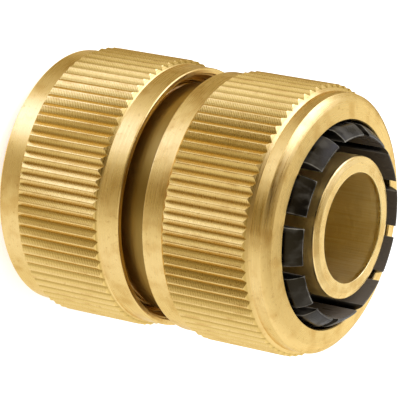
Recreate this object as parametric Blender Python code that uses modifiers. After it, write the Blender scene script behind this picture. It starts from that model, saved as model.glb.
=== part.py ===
"""A brass hose mender: one turned body with a hose tail at each end, and on each
end a knurled clamp nut that closes a slotted plastic collet on the hose.

The body's axis is Z. The mender stands on its lower tail, with z = 0 at the end
of that tail. Heights in the profiles below are measured from the middle of the
body towards one end, and the lower nut and collet are the upper ones turned over.
"""

import math

import bmesh
import bpy
from mathutils import Matrix, Vector

MM = 0.001

# Tail and bore
TAIL_DIAMETER = 19.0 * MM
BORE_DIAMETER = 14.7 * MM
BORE_BEVEL = 0.08 * MM
TAIL_STANDOUT = 0.31 * MM
END_SLOPE_WIDTH = 1.2 * MM
END_SLOPE_FALL = 0.24 * MM
END_BEVEL = 0.12 * MM
BARB_COUNT = 3
BARB_PITCH = 2.5 * MM
BARB_DEPTH = 0.4 * MM
BARB_UNDERCUT = 0.12 * MM
END_LAND = 3.6 * MM

# Body between the tails
COLLAR_WIDTH = 5.7 * MM
COLLAR_STEP = 0.15 * MM
COLLAR_BEVEL = 0.25 * MM
RELIEF_WIDTH = 1.1 * MM
RELIEF_DEPTH = 1.0 * MM
THREAD_LENGTH = 6.65 * MM
THREAD_BEVEL = 0.5 * MM
HUB_LEDGE = 0.7 * MM

# Collet
FINGER_COUNT = 12
HOSE_SPACE = 2.6 * MM
FINGER_THICKNESS = 1.45 * MM
FINGER_SPLAY = 1.5 * MM
TIP_STANDOUT = 1.95 * MM
TIP_LAND = 0.12 * MM
TIP_FULLNESS = 0.35
TIP_STEPS = 3
RING_LENGTH = 2.6 * MM
RING_BEVEL = 0.3 * MM
SLOT_WIDTH = 1.45 * MM
SLOT_FLARE = 0.3

# Clamp nut
NUT_GAP = 3.7 * MM
NUT_WALL = 2.05 * MM
COUNTERBORE_STEP = 0.6 * MM
THREAD_RUNOUT = 1.0 * MM
THREAD_ENTRY = 0.4 * MM
CHAMBER_LENGTH = 3.6 * MM
CLOSING_CONE_LENGTH = 4.8 * MM
MOUTH_LAND = 0.45 * MM
MOUTH_BEVEL = 0.2 * MM
KNURL_COUNT = 76
KNURL_DEPTH = 0.55 * MM
KNURL_CREST = 0.2 * MM
REAR_BAND_STEP = 0.62 * MM
FRONT_BAND_STEP = 0.85 * MM
REAR_BAND = 2.8 * MM
FRONT_BAND = 1.7 * MM
LOWER_BAND_EXTRA = 1.2 * MM
KNURL_RUNOUT = 0.65 * MM
REAR_BEVEL = 0.3 * MM
RIM_LENGTH = 0.87 * MM
RIM_DEPTH = 1.25 * MM
RIM_FULLNESS = 0.3
RIM_STEPS = 3
FACE_CROWN = 0.38 * MM

# Fits
THREAD_CLEARANCE = 0.4 * MM
FINGER_CLEARANCE = 0.35 * MM
SEAT_CLEARANCE = 0.35 * MM

BODY_STEPS = 48
NUT_BORE_STEPS = 48
COLLET_STEPS = 48
CUTTER_MARGIN = 0.3 * MM
SHARP_ANGLE = math.radians(30)

# Radii, from the bore outwards
bore_r = BORE_DIAMETER / 2
tail_r = TAIL_DIAMETER / 2
finger_inner_r = tail_r + HOSE_SPACE
finger_outer_r = finger_inner_r + FINGER_THICKNESS
mouth_r = finger_outer_r + FINGER_CLEARANCE
ring_r = finger_outer_r + FINGER_SPLAY
chamber_r = ring_r + FINGER_CLEARANCE
hub_r = ring_r + HUB_LEDGE
nut_thread_r = hub_r + THREAD_CLEARANCE
counterbore_r = nut_thread_r + COUNTERBORE_STEP
knurl_r = nut_thread_r + NUT_WALL
rear_band_r = knurl_r - REAR_BAND_STEP
front_band_r = knurl_r - FRONT_BAND_STEP

# Heights above the middle, along the body and into the nut
collar_end = COLLAR_WIDTH / 2
thread_start = collar_end + RELIEF_WIDTH
hub_face = thread_start + THREAD_LENGTH
nut_rear = NUT_GAP / 2
counterbore_end = collar_end + SEAT_CLEARANCE
nut_thread_end = hub_face + THREAD_RUNOUT
chamber_start = nut_thread_end + THREAD_ENTRY
cone_start = chamber_start + CHAMBER_LENGTH
mouth_start = cone_start + CLOSING_CONE_LENGTH
mouth_end = mouth_start + MOUTH_LAND
nut_front = mouth_end + MOUTH_BEVEL
rim_start = nut_front - FACE_CROWN - RIM_LENGTH
ring_bottom = hub_face + SEAT_CLEARANCE
ring_top = ring_bottom + RING_LENGTH
finger_tip = nut_front + TIP_STANDOUT
tail_end = finger_tip + TAIL_STANDOUT


def clear_scene():
    """Remove every object, so the model starts from nothing."""
    for obj in list(bpy.data.objects):
        bpy.data.objects.remove(obj, do_unlink=True)


def new_collection(name):
    collection = bpy.data.collections.new(name)
    bpy.context.scene.collection.children.link(collection)
    return collection


def new_material(name, colour, roughness, metallic):
    """A Principled material, with its colour in linear RGB."""
    material = bpy.data.materials.new(name)
    material.use_nodes = True
    shader = material.node_tree.nodes["Principled BSDF"]
    shader.inputs["Base Color"].default_value = (*colour, 1.0)
    shader.inputs["Roughness"].default_value = roughness
    shader.inputs["Metallic"].default_value = metallic
    return material


def turned(name, outline, steps, collection, material=None):
    """A closed outline of (radius, height) points, turned around Z by a Screw."""
    mesh = bpy.data.meshes.new(name)
    points = [(radius, 0.0, height) for radius, height in outline]
    edges = [(i, (i + 1) % len(points)) for i in range(len(points))]
    mesh.from_pydata(points, edges, [])
    obj = bpy.data.objects.new(name, mesh)
    collection.objects.link(obj)
    screw = obj.modifiers.new("turn", "SCREW")
    screw.steps = steps
    screw.render_steps = steps
    screw.use_merge_vertices = True
    screw.merge_threshold = 0.00001
    if material is not None:
        mesh.materials.append(material)
    return obj


def cut(obj, cutter):
    """Take the cutter away from the object."""
    boolean = obj.modifiers.new("cut " + cutter.name, "BOOLEAN")
    boolean.operation = "DIFFERENCE"
    boolean.solver = "EXACT"
    boolean.object = cutter


def as_cutter(obj, owner):
    """Hide a cutter from the model and let it follow the piece it cuts."""
    obj.hide_render = True
    obj.display_type = "WIRE"
    obj.parent = owner


def mesh_object(name, bm, collection):
    """An object made from a bmesh, which is freed."""
    mesh = bpy.data.meshes.new(name)
    bm.to_mesh(mesh)
    bm.free()
    obj = bpy.data.objects.new(name, mesh)
    collection.objects.link(obj)
    return obj


def quarter_round(start, end, steps, fullness):
    """Points from start to end along a bulging quarter curve, ends left out.

    With a fullness of 1 it leaves start along the axis and meets end square to it,
    and with 0 it is the straight line between them.
    """
    points = []
    for i in range(1, steps):
        share = i / steps
        angle = share * math.pi / 2
        along = share + (math.sin(angle) - share) * fullness
        across = share + (1 - math.cos(angle) - share) * fullness
        radius = start[0] + (end[0] - start[0]) * across
        height = start[1] + (end[1] - start[1]) * along
        points.append((radius, height))
    return points


def barbs(top):
    """Saw-tooth barbs below the end land, each rising towards the hub."""
    points = []
    for i in range(BARB_COUNT):
        height = top - i * BARB_PITCH
        points.append((tail_r, height))
        points.append((tail_r - BARB_DEPTH, height - BARB_UNDERCUT))
    return points


def body_half():
    """The outer side of the upper half of the body, from its bore to its middle.

    The tail ends in a flat ring around the bore and a gentle slope outside it.
    """
    outline = [
        (bore_r, tail_end - BORE_BEVEL),
        (bore_r + BORE_BEVEL, tail_end),
        (tail_r - END_SLOPE_WIDTH, tail_end),
        (tail_r - END_BEVEL, tail_end - END_SLOPE_FALL),
        (tail_r, tail_end - END_SLOPE_FALL - END_BEVEL),
    ]
    outline += barbs(tail_end - END_LAND)
    outline += [
        (tail_r - BARB_DEPTH, hub_face),
        (hub_r - THREAD_BEVEL, hub_face),
        (hub_r, hub_face - THREAD_BEVEL),
        (hub_r, thread_start + THREAD_BEVEL),
        (hub_r - RELIEF_DEPTH, thread_start),
        (hub_r - RELIEF_DEPTH, collar_end),
        (hub_r - COLLAR_STEP - COLLAR_BEVEL, collar_end),
        (hub_r - COLLAR_STEP, collar_end - COLLAR_BEVEL),
    ]
    return outline


def centre_body(parts, material):
    """The turned body: collar, two threaded hubs and two tails around one bore."""
    upper = body_half()
    lower = [(radius, -height) for radius, height in reversed(upper)]
    return turned("centre_body", upper + lower, BODY_STEPS, parts, material)


def nut_outline(band_extra):
    """The nut's outside, closed along its axis so that its bore can be cut out.

    The front face is crowned: it rises a little from the rim to the mouth.
    """
    front = nut_front + band_extra
    band_edge = (front_band_r, rim_start + band_extra)
    face_edge = (front_band_r - RIM_DEPTH, front - FACE_CROWN)
    rim = quarter_round(band_edge, face_edge, RIM_STEPS, RIM_FULLNESS)
    knurl_top = rim_start - FRONT_BAND - KNURL_RUNOUT
    knurl_bottom = nut_rear + REAR_BEVEL + REAR_BAND + KNURL_RUNOUT
    outline = [(0.0, front), (mouth_r, front), face_edge]
    outline += list(reversed(rim))
    outline += [
        band_edge,
        (front_band_r, knurl_top + KNURL_RUNOUT),
        (knurl_r, knurl_top),
        (knurl_r, knurl_bottom),
        (rear_band_r, knurl_bottom - KNURL_RUNOUT),
        (rear_band_r, nut_rear + REAR_BEVEL),
        (rear_band_r - REAR_BEVEL, nut_rear),
        (0.0, nut_rear),
    ]
    return outline


def nut_bore(name, band_extra, cutters):
    """What the nut holds open: counterbore, thread, chamber, closing cone, mouth."""
    front = nut_front + band_extra
    outline = [
        (0.0, front + CUTTER_MARGIN),
        (mouth_r + MOUTH_BEVEL + CUTTER_MARGIN, front + CUTTER_MARGIN),
        (mouth_r, front - MOUTH_BEVEL),
        (mouth_r, mouth_start),
        (chamber_r, cone_start),
        (chamber_r, chamber_start),
        (nut_thread_r, nut_thread_end),
        (nut_thread_r, counterbore_end + THREAD_ENTRY),
        (counterbore_r, counterbore_end),
        (counterbore_r, nut_rear - CUTTER_MARGIN),
        (0.0, nut_rear - CUTTER_MARGIN),
    ]
    return turned(name + "_bore", outline, NUT_BORE_STEPS, cutters)


def knurl_grooves(name, cutters):
    """Three-sided bars around the nut, each point inwards at a groove's bottom.

    A triangle whose corners are 1 from its middle is 1.5 high.
    """
    bottom = nut_rear + REAR_BEVEL + REAR_BAND / 2
    top = rim_start - FRONT_BAND / 2
    facet_r = knurl_r * math.cos(math.pi / KNURL_COUNT)
    pitch = 2 * knurl_r * math.sin(math.pi / KNURL_COUNT)
    width = pitch - KNURL_CREST
    corner_rise = knurl_r - facet_r
    height = KNURL_DEPTH + corner_rise + CUTTER_MARGIN
    half_width = width / 2 * height / KNURL_DEPTH
    shape = Matrix.Diagonal((half_width / math.cos(math.pi / 6), height / 1.5, 1.0, 1.0))
    inwards = Matrix.Rotation(math.pi / 2, 4, "Z")
    centre = knurl_r - KNURL_DEPTH + height / 1.5
    place = Matrix.Translation((centre, 0.0, (bottom + top) / 2))
    bm = bmesh.new()
    for i in range(KNURL_COUNT):
        around = Matrix.Rotation(2 * math.pi * i / KNURL_COUNT, 4, "Z")
        bmesh.ops.create_cone(
            bm,
            cap_ends=True,
            segments=3,
            radius1=1.0,
            radius2=1.0,
            depth=top - bottom,
            matrix=around @ place @ inwards @ shape,
        )
    return mesh_object(name + "_grooves", bm, cutters)


def clamp_nut(name, band_extra, parts, cutters, material):
    """One knurled nut, with its bore and its grooves cut out."""
    nut = turned(name, nut_outline(band_extra), KNURL_COUNT, parts, material)
    for cutter in (nut_bore(name, band_extra, cutters), knurl_grooves(name, cutters)):
        as_cutter(cutter, nut)
        cut(nut, cutter)
    return nut


def collet_outline():
    """A collet's section: the base ring and one finger, from the tip down."""
    tip = (finger_inner_r + TIP_LAND, finger_tip)
    bevel_start = (finger_outer_r, nut_front + MOUTH_BEVEL)
    bevel = quarter_round(bevel_start, tip, TIP_STEPS, TIP_FULLNESS)
    outline = [(finger_inner_r, finger_tip), tip]
    outline += list(reversed(bevel))
    outline += [
        bevel_start,
        (finger_outer_r, mouth_start),
        (ring_r, cone_start),
        (ring_r, ring_bottom + RING_BEVEL),
        (ring_r - RING_BEVEL, ring_bottom),
        (finger_inner_r + RING_BEVEL, ring_bottom),
        (finger_inner_r, ring_bottom + RING_BEVEL),
    ]
    return outline


def finger_slots(name, cutters):
    """Bars between the fingers, each a little wider on its outer side."""
    inner = finger_inner_r - CUTTER_MARGIN
    outer = ring_r + CUTTER_MARGIN
    length = finger_tip + CUTTER_MARGIN - ring_top
    bm = bmesh.new()
    for i in range(FINGER_COUNT):
        around = Matrix.Rotation(2 * math.pi * i / FINGER_COUNT, 4, "Z")
        bar = bmesh.ops.create_cube(bm, size=1.0)
        for vert in bar["verts"]:
            radius = outer if vert.co.x > 0 else inner
            width = SLOT_WIDTH + SLOT_FLARE * (radius - finger_inner_r)
            height = ring_top + (vert.co.z + 0.5) * length
            vert.co = around @ Vector((radius, vert.co.y * width, height))
    return mesh_object(name + "_slots", bm, cutters)


def collet(name, parts, cutters, material):
    """The plastic gripper: a ring with fingers that the nut's cone closes."""
    gripper = turned(name, collet_outline(), COLLET_STEPS, parts, material)
    slots = finger_slots(name, cutters)
    as_cutter(slots, gripper)
    cut(gripper, slots)
    return gripper


def smooth_shading():
    """A node group that shades faces smooth and keeps the corners between them sharp."""
    group = bpy.data.node_groups.new("smooth_by_angle", "GeometryNodeTree")
    for in_out in ("INPUT", "OUTPUT"):
        group.interface.new_socket("Geometry", in_out=in_out, socket_type="NodeSocketGeometry")
    start = group.nodes.new("NodeGroupInput")
    end = group.nodes.new("NodeGroupOutput")
    angle = group.nodes.new("GeometryNodeInputMeshEdgeAngle")
    sharp = group.nodes.new("FunctionNodeCompare")
    sharp.operation = "GREATER_THAN"
    sharp.inputs["B"].default_value = SHARP_ANGLE
    faces = group.nodes.new("GeometryNodeSetShadeSmooth")
    faces.inputs["Shade Smooth"].default_value = True
    edges = group.nodes.new("GeometryNodeSetShadeSmooth")
    edges.domain = "EDGE"
    edges.inputs["Shade Smooth"].default_value = False
    group.links.new(start.outputs["Geometry"], faces.inputs["Geometry"])
    group.links.new(faces.outputs["Geometry"], edges.inputs["Geometry"])
    group.links.new(angle.outputs["Unsigned Angle"], sharp.inputs["A"])
    group.links.new(sharp.outputs["Result"], edges.inputs["Selection"])
    group.links.new(edges.outputs["Geometry"], end.inputs["Geometry"])
    return group


def build():
    clear_scene()
    parts = new_collection("hose_mender")
    cutters = new_collection("hose_mender_cutters")
    shading = smooth_shading()
    body_brass = new_material("turned_brass_body", (0.72, 0.47, 0.14), 0.3, 1.0)
    nut_brass = new_material("turned_brass_nut", (0.78, 0.53, 0.17), 0.32, 1.0)
    nylon = new_material("black_nylon", (0.02, 0.02, 0.022), 0.45, 0.0)

    middle = bpy.data.objects.new("mender_middle", None)
    middle.location = (0.0, 0.0, tail_end)
    parts.objects.link(middle)

    pieces = [centre_body(parts, body_brass)]
    for end, turn, extra in (("upper", 0.0, 0.0), ("lower", math.pi, LOWER_BAND_EXTRA)):
        gripper = collet(end + "_collet", parts, cutters, nylon)
        nut = clamp_nut(end + "_nut", extra, parts, cutters, nut_brass)
        for piece in (gripper, nut):
            piece.rotation_euler = (turn, 0.0, 0.0)
            pieces.append(piece)
    for piece in pieces:
        piece.parent = middle
        piece.modifiers.new("smooth by angle", "NODES").node_group = shading


build()
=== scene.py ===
# %% [markdown]
# # A brass hose mender
#
# The mender joins two cut ends of a garden hose. A turned brass body has a tail
# at each end that goes into the hose. A slotted nylon gripper stands around each
# tail, and a knurled brass nut screws over it and squeezes its fingers onto the
# hose. This lesson dresses the plain solids of that part for a close look.
#
# The solids are loaded first and never change. Everything below is in metres, in
# their frame: Z is the mender's axis, and it stands on its lower tail at z = 0.

# %% Load the solids
import math

import bmesh
import bpy
from mathutils import Matrix, Vector


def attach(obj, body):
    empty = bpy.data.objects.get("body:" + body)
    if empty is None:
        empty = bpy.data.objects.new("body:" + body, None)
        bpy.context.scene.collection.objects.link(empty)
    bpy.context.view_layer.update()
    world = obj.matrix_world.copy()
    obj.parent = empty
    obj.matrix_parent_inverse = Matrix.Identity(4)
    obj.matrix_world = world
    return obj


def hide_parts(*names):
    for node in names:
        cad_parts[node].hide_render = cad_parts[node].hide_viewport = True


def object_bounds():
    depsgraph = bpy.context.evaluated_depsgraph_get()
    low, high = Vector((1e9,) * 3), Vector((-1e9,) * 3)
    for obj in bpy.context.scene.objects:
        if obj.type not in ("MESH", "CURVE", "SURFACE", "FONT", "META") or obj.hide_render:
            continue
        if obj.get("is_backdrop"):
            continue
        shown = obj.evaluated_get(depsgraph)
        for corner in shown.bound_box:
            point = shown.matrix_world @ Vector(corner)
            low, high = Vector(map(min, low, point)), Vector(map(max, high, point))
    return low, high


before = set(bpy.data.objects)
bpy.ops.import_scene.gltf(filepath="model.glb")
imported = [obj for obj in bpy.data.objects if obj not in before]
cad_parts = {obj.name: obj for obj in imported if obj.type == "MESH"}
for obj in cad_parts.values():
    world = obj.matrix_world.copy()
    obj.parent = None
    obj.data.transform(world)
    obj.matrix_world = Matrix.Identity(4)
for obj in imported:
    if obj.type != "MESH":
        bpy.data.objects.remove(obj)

MM = 0.001
cad_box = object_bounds()
print("solids, mm:", [[round(v / MM, 2) for v in corner] for corner in cad_box])

# %% [markdown]
# ## Small helpers
#
# A tree of nodes is built the same way for a shape and for a material: add a node,
# set what it does, and feed its sockets. One helper does that for every kind of
# node. Another turns a colour as a screen shows it into the linear light that a
# shader works with.


# %% Add a node, turn a colour to linear
def add_node(tree, kind, feeds=(), **settings):
    """Adds one node with its settings. feeds fills its sockets, in a row or by name:
    a value is set, and another node, or one of its outputs, is linked."""
    node = tree.nodes.new(kind)
    for name, value in settings.items():
        setattr(node, name, value)
    shown = [socket for socket in node.inputs if socket.enabled]
    for key, value in feeds.items() if isinstance(feeds, dict) else enumerate(feeds):
        target = shown[key] if isinstance(key, int) else next(s for s in shown if s.name == key)
        if isinstance(value, bpy.types.Node):
            value = next(socket for socket in value.outputs if socket.enabled)
        if isinstance(value, bpy.types.NodeSocket):
            tree.links.new(value, target)
        else:
            target.default_value = value
    return node


def linear(hex_colour):
    """An sRGB hex colour as linear RGBA."""
    channels = [int(hex_colour[i : i + 2], 16) / 255 for i in (0, 2, 4)]
    light = [c / 12.92 if c <= 0.04045 else ((c + 0.055) / 1.055) ** 2.4 for c in channels]
    return (*light, 1.0)


print("mid grey as light:", round(linear("808080")[0], 3))

# %% [markdown]
# ## The camera
#
# The picture looks down on the mender from about 31 degrees, with the camera
# rolled so that the mender's axis runs across the frame. It is a long lens a good
# way off, so the far rings are hardly smaller than the near ones. The camera is
# placed by three directions: its right, its up, and back towards the camera. They
# are written from the mender's own three: up its axis, out on the side that faces
# the lens, and beside that. Their numbers come from fitting the camera to every
# circle that the photograph shows. The later steps use those three again.

# %% Three directions of the mender
FRONT_ANGLE = math.radians(-92.7)
AXIS_MIDDLE = Vector((0.0, 0.0, 23.31 * MM))
front = Vector((math.cos(FRONT_ANGLE), math.sin(FRONT_ANGLE), 0.0))
up_axis = Vector((0.0, 0.0, 1.0))
beside = up_axis.cross(front)
print("front:", [round(v, 3) for v in front])

# %% Place the camera
CAMERA_DISTANCE, AIM_RIGHT, AIM_UP = 419.92 * MM, -0.447 * MM, -0.101 * MM

camera_back = (0.5208 * up_axis + 0.853 * front).normalized()
camera_right = (0.8381 * up_axis - 0.512 * front - 0.189 * beside).normalized()
camera_up = camera_back.cross(camera_right).normalized()
camera_right = camera_up.cross(camera_back)
aim = AXIS_MIDDLE + AIM_RIGHT * camera_right + AIM_UP * camera_up

camera_data = bpy.data.cameras.new("camera")
camera_data.lens = 281.4
camera_data.sensor_width = 36.0
camera_data.clip_start = 0.01
camera = bpy.data.objects.new("camera", camera_data)
bpy.context.scene.collection.objects.link(camera)
turned_to = Matrix((camera_right, camera_up, camera_back)).transposed().to_4x4()
camera.matrix_world = Matrix.Translation(aim + CAMERA_DISTANCE * camera_back) @ turned_to
bpy.context.scene.camera = camera
print("camera height, degrees:", round(math.degrees(math.asin(camera_back.z)), 1))

# %% [markdown]
# ## Turned outlines
#
# A lathe leaves every corner a little round, and it is those round corners that
# catch the light as thin bright lines. An outline is therefore written as plain
# corners, each with the radius that its edge is broken to, and a helper puts a
# small arc at each. It also adds a point just before and after each arc, so that
# the smooth shading of the arc doesn't bend the flats beside it.


# %% Round the corners of an outline
ARC_STEPS = 4
GUARD = 0.09 * MM
NEARLY_STRAIGHT = math.radians(178)


def rounded(corners):
    """A closed outline of (radius, height) points, from corners that each give
    their own (radius, height, edge radius)."""
    points = []
    for i, (x, y, edge) in enumerate(corners):
        here = Vector((x, y))
        before = Vector(corners[i - 1][:2]) - here
        after = Vector(corners[(i + 1) % len(corners)][:2]) - here
        turn = before.angle(after)
        if edge <= 0 or turn > NEARLY_STRAIGHT:
            points.append(tuple(here))
            continue
        reach = edge / math.tan(turn / 2)
        reach = min(reach, 0.45 * before.length, 0.45 * after.length)
        edge = reach * math.tan(turn / 2)
        back, ahead = before.normalized(), after.normalized()
        centre = here + (back + ahead).normalized() * (edge / math.sin(turn / 2))
        start, end = here + back * reach, here + ahead * reach
        if before.length * 0.5 > reach + GUARD:
            points.append(tuple(start + back * GUARD))
        for k in range(ARC_STEPS + 1):
            spoke = (start - centre).slerp(end - centre, k / ARC_STEPS)
            points.append(tuple(centre + spoke.normalized() * edge))
        if after.length * 0.5 > reach + GUARD:
            points.append(tuple(end + ahead * GUARD))
    return points


square = [(x * MM, y * MM, MM) for x, y in ((0, 0), (9, 0), (9, 9), (0, 9))]
print("a rounded square:", len(rounded(square)), "points")

# %% [markdown]
# ## A lathe built from nodes
#
# The body and both nuts follow one rule: an outline carried round the axis. The
# outline comes in as a line of points, and Geometry Nodes lay a grid whose rows
# are those points and whose columns go round. A knurl is a rule too. Each ridge
# is a few columns wide, and a second small line of points says how far across
# the ridge each column stands and how far out it may reach. Rows marked as
# knurled are held to that reach. Where the knurl runs out on a cone, its end rows
# also slide along the cone, so each ridge ends in a crisp triangular facet.

# %% How every tree starts and ends


def new_tree(name, inputs, output):
    """A tree with named inputs, listed by kind, and the one geometry it gives back."""
    tree = bpy.data.node_groups.new(name, "GeometryNodeTree")
    for kind, sockets in inputs.items():
        for socket in sockets:
            tree.interface.new_socket(socket, in_out="INPUT", socket_type="NodeSocket" + kind)
    tree.interface.new_socket(output, in_out="OUTPUT", socket_type="NodeSocketGeometry")
    return tree, add_node(tree, "NodeGroupInput").outputs


def finished(tree, geometry, sharp_angle, material):
    """The last nodes of every tree: smooth faces, sharp corners, real mesh, material."""
    feeds = {"Geometry": geometry, "Shade Smooth": True}
    smooth = add_node(tree, "GeometryNodeSetShadeSmooth", feeds)
    edge_angle = add_node(tree, "GeometryNodeInputMeshEdgeAngle").outputs["Unsigned Angle"]
    feeds = {"A": edge_angle, "B": sharp_angle}
    sharp = add_node(tree, "FunctionNodeCompare", feeds, operation="GREATER_THAN")
    feeds = {"Geometry": smooth, "Selection": sharp, "Shade Smooth": False}
    cornered = add_node(tree, "GeometryNodeSetShadeSmooth", feeds, domain="EDGE")
    real = add_node(tree, "GeometryNodeRealizeInstances", {"Geometry": cornered})
    return add_node(tree, "GeometryNodeSetMaterial", {"Geometry": real, "Material": material})


# %% The lathe's tree
MERGE_DISTANCE = 0.002 * MM


def lathe_tree():
    """Rows from the outline, columns from the ridge, closed both ways."""
    inputs = {
        "Geometry": ["Outline"],
        "Object": ["Ridge"],
        "Int": ["Ridge count"],
        "Float": ["First angle", "Sharp angle"],
        "Material": ["Material"],
    }
    tree, given = new_tree("lathe", inputs, "Turned")

    # A grid with a row for each point of the outline. Its columns go round the axis.
    ridge = add_node(tree, "GeometryNodeObjectInfo", {"Object": given["Ridge"]}).outputs["Geometry"]
    rows = add_node(tree, "GeometryNodeAttributeDomainSize", {"Geometry": given["Outline"]})
    ridge_columns = add_node(tree, "GeometryNodeAttributeDomainSize", {"Geometry": ridge})
    feeds = [ridge_columns, given["Ridge count"]]
    columns = add_node(tree, "FunctionNodeIntegerMath", feeds, operation="MULTIPLY")
    grid_columns = add_node(tree, "FunctionNodeIntegerMath", [columns, 1], operation="ADD")
    grid_rows = add_node(tree, "FunctionNodeIntegerMath", [rows, 1], operation="ADD")
    feeds = {"Vertices X": grid_columns, "Vertices Y": grid_rows}
    grid = add_node(tree, "GeometryNodeMeshGrid", feeds)

    # Where each grid point stands: its row, its ridge, and its column in that ridge.
    index = add_node(tree, "GeometryNodeInputIndex")
    column = add_node(tree, "FunctionNodeIntegerMath", [index, grid_rows], operation="DIVIDE_FLOOR")
    row_on_grid = add_node(tree, "FunctionNodeIntegerMath", [index, grid_rows], operation="MODULO")
    row = add_node(tree, "FunctionNodeIntegerMath", [row_on_grid, rows], operation="MODULO")
    feeds = [column, ridge_columns]
    ridge_number = add_node(tree, "FunctionNodeIntegerMath", feeds, operation="DIVIDE_FLOOR")
    in_ridge = add_node(tree, "FunctionNodeIntegerMath", feeds, operation="MODULO")

    # What the outline and the ridge say about that row and that column.
    place = add_node(tree, "GeometryNodeInputPosition")
    knurled, slide = (
        add_node(tree, "GeometryNodeInputNamedAttribute", {"Name": mark}, data_type="FLOAT")
        for mark in ("knurled", "slide")
    )
    taken = {}
    for name, source, value, kind, at in (
        ("outline", given["Outline"], place, "FLOAT_VECTOR", row),
        ("ridge", ridge, place, "FLOAT_VECTOR", in_ridge),
        ("knurled", given["Outline"], knurled, "FLOAT", row),
        ("slide", given["Outline"], slide, "FLOAT", row),
    ):
        feeds = {"Geometry": source, "Value": value, "Index": at}
        taken[name] = add_node(tree, "GeometryNodeSampleIndex", feeds, data_type=kind, domain="POINT")
    outline_point = add_node(tree, "ShaderNodeSeparateXYZ", [taken["outline"]]).outputs
    ridge_point = add_node(tree, "ShaderNodeSeparateXYZ", [taken["ridge"]]).outputs

    # A knurled row is cut down to the ridge, and slides along the cone as it is cut.
    feeds = [outline_point["X"], ridge_point["Z"]]
    above = add_node(tree, "ShaderNodeMath", feeds, operation="SUBTRACT")
    above = add_node(tree, "ShaderNodeMath", [above, 0.0], operation="MAXIMUM")
    cut = add_node(tree, "ShaderNodeMath", [above, taken["knurled"]], operation="MULTIPLY")
    radius = add_node(tree, "ShaderNodeMath", [outline_point["X"], cut], operation="SUBTRACT")
    feeds = [cut, taken["slide"], outline_point["Z"]]
    height = add_node(tree, "ShaderNodeMath", feeds, operation="MULTIPLY_ADD")

    # Each point is turned to its own angle, and the seams are closed.
    feeds = [ridge_number, ridge_point["X"]]
    ridges_passed = add_node(tree, "ShaderNodeMath", feeds, operation="ADD")
    feeds = [ridges_passed, given["Ridge count"]]
    share = add_node(tree, "ShaderNodeMath", feeds, operation="DIVIDE")
    feeds = [share, math.tau, given["First angle"]]
    angle = add_node(tree, "ShaderNodeMath", feeds, operation="MULTIPLY_ADD")
    flat = add_node(tree, "ShaderNodeCombineXYZ", {"X": radius, "Z": height})
    feeds = {"Vector": flat, "Angle": angle}
    around = add_node(tree, "ShaderNodeVectorRotate", feeds, rotation_type="Z_AXIS")
    shaped = add_node(tree, "GeometryNodeSetPosition", {"Geometry": grid, "Position": around})
    feeds = {"Geometry": shaped, "Distance": MERGE_DISTANCE}
    closed = add_node(tree, "GeometryNodeMergeByDistance", feeds)
    turned = finished(tree, closed, given["Sharp angle"], given["Material"])
    add_node(tree, "NodeGroupOutput", [turned])
    return tree


lathe = lathe_tree()
print("lathe tree:", len(lathe.nodes), "nodes")

# %% [markdown]
# A tree runs as a modifier on some small object: a line of points for the lathe.
# Its sizes are set before it first runs. What it makes is kept as a plain mesh, so
# later steps see only that. A closed mesh whose faces look inwards has a negative
# volume, which is how the check below finds and turns them.

# %% Run a tree on an object and keep the plain mesh


def profile_object(name, points, marks=None):
    """A line of points for the lathe. marks maps an attribute's name to a value a point."""
    mesh = bpy.data.meshes.new(name)
    mesh.from_pydata([(x, 0.0, y) for x, y in points], [], [])
    for mark, values in (marks or {}).items():
        mesh.attributes.new(mark, "FLOAT", "POINT").data.foreach_set("value", values)
    obj = bpy.data.objects.new(name, mesh)
    bpy.context.scene.collection.objects.link(obj)
    return obj


def baked(source, tree, inputs, name):
    """The mesh a tree makes from the source, as a new plain object. The source goes."""
    modifier = source.modifiers.new(tree.name, "NODES")
    modifier.node_group = tree
    for item in tree.interface.items_tree:
        if item.item_type == "SOCKET" and item.in_out == "INPUT" and item.name in inputs:
            modifier[item.identifier] = inputs[item.name]
    depsgraph = bpy.context.evaluated_depsgraph_get()
    mesh = bpy.data.meshes.new_from_object(source.evaluated_get(depsgraph), depsgraph=depsgraph)
    source.modifiers.remove(modifier)
    bpy.data.objects.remove(source, do_unlink=True)
    mesh.name = name
    mesh.materials.clear()
    mesh.materials.append(inputs["Material"])
    mesh.polygons.foreach_set("material_index", [0] * len(mesh.polygons))
    piece = bpy.data.objects.new(name, mesh)
    bpy.context.scene.collection.objects.link(piece)
    return piece


def checked(piece):
    """Turns a closed mesh to face outwards, and prints what it is made of."""
    bm = bmesh.new()
    bm.from_mesh(piece.data)
    if bm.calc_volume(signed=True) < 0:
        bmesh.ops.reverse_faces(bm, faces=bm.faces)
        bm.to_mesh(piece.data)
    loose = sum(1 for edge in bm.edges if len(edge.link_faces) != 2)
    triangles = sum(len(face.verts) - 2 for face in bm.faces)
    volume = bm.calc_volume() / MM**3
    bm.free()
    print(f"{piece.name}: {triangles} triangles, {loose} open edges, {volume:.0f} mm3")
    return piece


# %% [markdown]
# ## Brass
#
# Free-cutting brass is the yellow alloy that lathes turn small fittings from. It
# is bare here, so all that shows is reflection, and its colour is the metal's own
# except where light and shade are painted into it further down.
# What makes it look turned is the tool's marks. They are fine rings, one each
# 0.13 mm, and they run round the axis on the walls and on the faces alike. The
# pattern is therefore written in turned coordinates: the direction round the
# axis, which changes it slowly, and the radius and height, which change it fast.
# The real rings are finer than the picture can hold, so half of them are drawn
# twice as coarse.

# %% Turned coordinates


def new_material(name):
    """An empty material, ready for its nodes."""
    material = bpy.data.materials.new(name)
    material.use_nodes = True
    material.node_tree.nodes.clear()
    return material


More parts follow.
